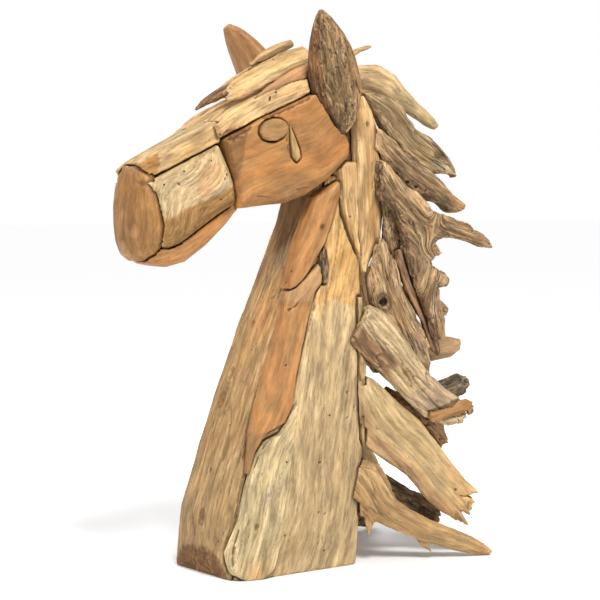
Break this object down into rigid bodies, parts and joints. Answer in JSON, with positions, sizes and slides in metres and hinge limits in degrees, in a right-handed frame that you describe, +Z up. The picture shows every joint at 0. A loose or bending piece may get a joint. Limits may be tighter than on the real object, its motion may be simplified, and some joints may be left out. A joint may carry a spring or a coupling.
{
  "type": "driftwood horse head sculpture",
  "caption": "Free-standing horse head and neck assembled from salvaged teak roots, planks and logs, with a loose mane of driftwood branches; it stands on its flat sawn neck.",
  "frame": {"origin": "on the floor, on the flat sawn underside of the neck, near the middle of the neck's section", "axes": "+Z up to the ears; the horse looks along -X, its left side faces -Y, its mane points to +X"},
  "size_m": [0.6293, 0.3149, 0.9015],
  "materials": {
    "teak_sanded": "heartwood sanded smooth, tan to orange, no varnish",
    "teak_orange": "freshly cut orange heartwood, sanded smooth",
    "teak_golden": "golden plank, straight grain, lightly sanded",
    "teak_pale": "sun-bleached cream wood with open cracks and worm holes",
    "teak_weathered": "weathered tan wood with raised grain, small knots and grey patches",
    "teak_grey": "grey-brown driftwood, deeply pitted",
    "teak_bark": "dark knobbly root bark",
    "teak_dark": "red-brown weathered heartwood"
  },
  "bodies": {
    "root": {"eye_left": "teak_golden", "eye_right": "teak_golden", "eye_corner_left": "teak_weathered", "eye_corner_right": "teak_weathered", "ear_left": "teak_grey", "ear_right": "teak_orange", "forelock_pale_left": "teak_weathered", "forelock_pale_right": "teak_weathered", "forelock_top": "teak_weathered", "forelock_red_left": "teak_orange", "forelock_strip": "teak_dark", "nose_block": "teak_orange", "nose_bridge_left": "teak_weathered", "nose_bridge_right": "teak_weathered", "muzzle_left": "teak_pale", "muzzle_right": "teak_pale", "lower_jaw": "teak_sanded", "brow_left": "teak_golden", "brow_right": "teak_golden", "cheek_left": "teak_sanded", "cheek_right": "teak_sanded", "pale_sliver": "teak_pale", "throat_strap_left": "teak_orange", "throat_strap_right": "teak_orange", "grey_chip": "teak_bark", "long_strip": "teak_orange", "post_front_left": "teak_golden", "post_front_right": "teak_golden", "post_back_left": "teak_golden", "post_back_right": "teak_golden", "edge_slat": "teak_weathered", "chest_log": "teak_weathered", "side_log_left": "teak_weathered", "side_log_right": "teak_weathered", "nape_block": "teak_dark", "mane_crest": "teak_pale", "mane_hooked_plank": "teak_grey", "mane_antler_root": "teak_grey", "mane_upper_plank": "teak_grey", "mane_pale_log": "teak_pale", "mane_knotty_log": "teak_grey", "mane_broad_plank": "teak_golden", "mane_foot_branch": "teak_golden", "mane_grey_knot": "teak_bark", "mane_red_strip": "teak_dark", "mane_dark_root": "teak_bark", "mane_stub_upper": "teak_grey", "mane_stub_orange": "teak_orange", "mane_gnarled_end": "teak_bark", "mane_split_end": "teak_orange", "mane_bark_stub": "teak_bark", "crest_twig": "teak_weathered", "mane_far_crest": "teak_golden", "mane_far_hook": "teak_grey", "mane_far_fork": "teak_weathered", "mane_far_knotty": "teak_grey", "mane_far_log": "teak_pale", "mane_far_plank": "teak_golden", "mane_far_root": "teak_bark"}
  },
  "joints": []
}
